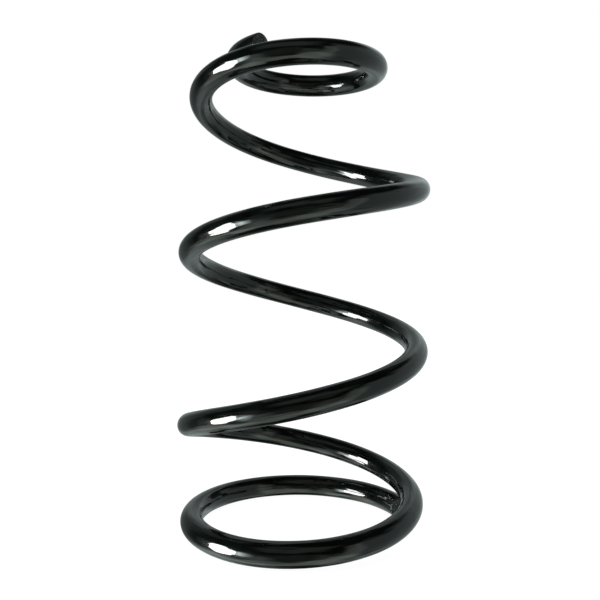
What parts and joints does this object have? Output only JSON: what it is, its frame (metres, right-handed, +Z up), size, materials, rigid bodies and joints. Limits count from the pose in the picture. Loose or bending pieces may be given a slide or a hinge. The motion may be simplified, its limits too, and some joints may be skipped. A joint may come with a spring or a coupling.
{
  "type": "coil spring",
  "caption": "Helical compression spring of a car's suspension, round black-painted steel wire, flat lower end coil and a smaller drawn-in upper end coil.",
  "frame": {"origin": "on the coil's axis, level with the underside of the lower end coil", "axes": "+Z up along the coil's axis, from the lower end coil to the upper one; the wire starts 14 degrees from +X and winds right-handed, from +X towards +Y as it climbs"},
  "size_m": [0.1429, 0.143, 0.2741],
  "materials": {
    "black_paint": "gloss black dipped or powder-coated paint over spring steel, with fine orange peel"
  },
  "bodies": {
    "lower_end_coil": {"lower_end_coil_1": "black_paint", "lower_end_coil_2": "black_paint", "lower_end_coil_3": "black_paint", "lower_end_coil_4": "black_paint", "lower_end_coil_5": "black_paint", "lower_end_coil_6": "black_paint", "lower_end_coil_7": "black_paint", "lower_end_coil_8": "black_paint", "lower_end_coil_9": "black_paint"},
    "working_coil_01": {"working_coil_01": "black_paint"},
    "working_coil_02": {"working_coil_02": "black_paint"},
    "working_coil_03": {"working_coil_03": "black_paint"},
    "working_coil_04": {"working_coil_04": "black_paint"},
    "working_coil_05": {"working_coil_05": "black_paint"},
    "working_coil_06": {"working_coil_06": "black_paint"},
    "working_coil_07": {"working_coil_07": "black_paint"},
    "working_coil_08": {"working_coil_08": "black_paint"},
    "working_coil_09": {"working_coil_09": "black_paint"},
    "working_coil_10": {"working_coil_10": "black_paint"},
    "working_coil_11": {"working_coil_11": "black_paint"},
    "working_coil_12": {"working_coil_12": "black_paint"},
    "working_coil_13": {"working_coil_13": "black_paint"},
    "working_coil_14": {"working_coil_14": "black_paint"},
    "working_coil_15": {"working_coil_15": "black_paint"},
    "working_coil_16": {"working_coil_16": "black_paint"},
    "working_coil_17": {"working_coil_17": "black_paint"},
    "working_coil_18": {"working_coil_18": "black_paint"},
    "working_coil_19": {"working_coil_19": "black_paint"},
    "working_coil_20": {"working_coil_20": "black_paint"},
    "upper_end_coil": {"upper_end_coil_1": "black_paint", "upper_end_coil_2": "black_paint", "upper_end_coil_3": "black_paint", "upper_end_coil_4": "black_paint", "upper_end_coil_5": "black_paint", "upper_end_coil_6": "black_paint", "upper_end_coil_7": "black_paint"}
  },
  "joints": [
    {"name": "compression", "type": "slide", "parent": "lower_end_coil", "child": "upper_end_coil", "axis": [0, 0, -1], "range_m": [0, 0.15], "stiffness_N_per_m": 45000},
    {"name": "working_coil_01_travel", "type": "slide", "parent": "lower_end_coil", "child": "working_coil_01", "axis": [0, 0, -1], "range_m": [0, 0.0053]},
    {"name": "working_coil_02_travel", "type": "slide", "parent": "lower_end_coil", "child": "working_coil_02", "axis": [0, 0, -1], "range_m": [0, 0.0121]},
    {"name": "working_coil_03_travel", "type": "slide", "parent": "lower_end_coil", "child": "working_coil_03", "axis": [0, 0, -1], "range_m": [0, 0.0195]},
    {"name": "working_coil_04_travel", "type": "slide", "parent": "lower_end_coil", "child": "working_coil_04", "axis": [0, 0, -1], "range_m": [0, 0.0273]},
    {"name": "working_coil_05_travel", "type": "slide", "parent": "lower_end_coil", "child": "working_coil_05", "axis": [0, 0, -1], "range_m": [0, 0.0353]},
    {"name": "working_coil_06_travel", "type": "slide", "parent": "lower_end_coil", "child": "working_coil_06", "axis": [0, 0, -1], "range_m": [0, 0.0436]},
    {"name": "working_coil_07_travel", "type": "slide", "parent": "lower_end_coil", "child": "working_coil_07", "axis": [0, 0, -1], "range_m": [0, 0.0521]},
    {"name": "working_coil_08_travel", "type": "slide", "parent": "lower_end_coil", "child": "working_coil_08", "axis": [0, 0, -1], "range_m": [0, 0.0606]},
    {"name": "working_coil_09_travel", "type": "slide", "parent": "lower_end_coil", "child": "working_coil_09", "axis": [0, 0, -1], "range_m": [0, 0.0691]},
    {"name": "working_coil_10_travel", "type": "slide", "parent": "lower_end_coil", "child": "working_coil_10", "axis": [0, 0, -1], "range_m": [0, 0.0775]},
    {"name": "working_coil_11_travel", "type": "slide", "parent": "lower_end_coil", "child": "working_coil_11", "axis": [0, 0, -1], "range_m": [0, 0.085]},
    {"name": "working_coil_12_travel", "type": "slide", "parent": "lower_end_coil", "child": "working_coil_12", "axis": [0, 0, -1], "range_m": [0, 0.0919]},
    {"name": "working_coil_13_travel", "type": "slide", "parent": "lower_end_coil", "child": "working_coil_13", "axis": [0, 0, -1], "range_m": [0, 0.0981]},
    {"name": "working_coil_14_travel", "type": "slide", "parent": "lower_end_coil", "child": "working_coil_14", "axis": [0, 0, -1], "range_m": [0, 0.1049]},
    {"name": "working_coil_15_travel", "type": "slide", "parent": "lower_end_coil", "child": "working_coil_15", "axis": [0, 0, -1], "range_m": [0, 0.1128]},
    {"name": "working_coil_16_travel", "type": "slide", "parent": "lower_end_coil", "child": "working_coil_16", "axis": [0, 0, -1], "range_m": [0, 0.1217]},
    {"name": "working_coil_17_travel", "type": "slide", "parent": "lower_end_coil", "child": "working_coil_17", "axis": [0, 0, -1], "range_m": [0, 0.1305]},
    {"name": "working_coil_18_travel", "type": "slide", "parent": "lower_end_coil", "child": "working_coil_18", "axis": [0, 0, -1], "range_m": [0, 0.1386]},
    {"name": "working_coil_19_travel", "type": "slide", "parent": "lower_end_coil", "child": "working_coil_19", "axis": [0, 0, -1], "range_m": [0, 0.1446]},
    {"name": "working_coil_20_travel", "type": "slide", "parent": "lower_end_coil", "child": "working_coil_20", "axis": [0, 0, -1], "range_m": [0, 0.1478]}
  ],
  "couplings": [
    {"joint": "working_coil_01_travel", "follows": "compression", "ratio": 0.034},
    {"joint": "working_coil_02_travel", "follows": "compression", "ratio": 0.0795},
    {"joint": "working_coil_03_travel", "follows": "compression", "ratio": 0.1289},
    {"joint": "working_coil_04_travel", "follows": "compression", "ratio": 0.1804},
    {"joint": "working_coil_05_travel", "follows": "compression", "ratio": 0.2338},
    {"joint": "working_coil_06_travel", "follows": "compression", "ratio": 0.2892},
    {"joint": "working_coil_07_travel", "follows": "compression", "ratio": 0.3458},
    {"joint": "working_coil_08_travel", "follows": "compression", "ratio": 0.4026},
    {"joint": "working_coil_09_travel", "follows": "compression", "ratio": 0.4596},
    {"joint": "working_coil_10_travel", "follows": "compression", "ratio": 0.515},
    {"joint": "working_coil_11_travel", "follows": "compression", "ratio": 0.5656},
    {"joint": "working_coil_12_travel", "follows": "compression", "ratio": 0.6112},
    {"joint": "working_coil_13_travel", "follows": "compression", "ratio": 0.6526},
    {"joint": "working_coil_14_travel", "follows": "compression", "ratio": 0.6982},
    {"joint": "working_coil_15_travel", "follows": "compression", "ratio": 0.7509},
    {"joint": "working_coil_16_travel", "follows": "compression", "ratio": 0.8103},
    {"joint": "working_coil_17_travel", "follows": "compression", "ratio": 0.869},
    {"joint": "working_coil_18_travel", "follows": "compression", "ratio": 0.9229},
    {"joint": "working_coil_19_travel", "follows": "compression", "ratio": 0.9626},
    {"joint": "working_coil_20_travel", "follows": "compression", "ratio": 0.9841}
  ]
}
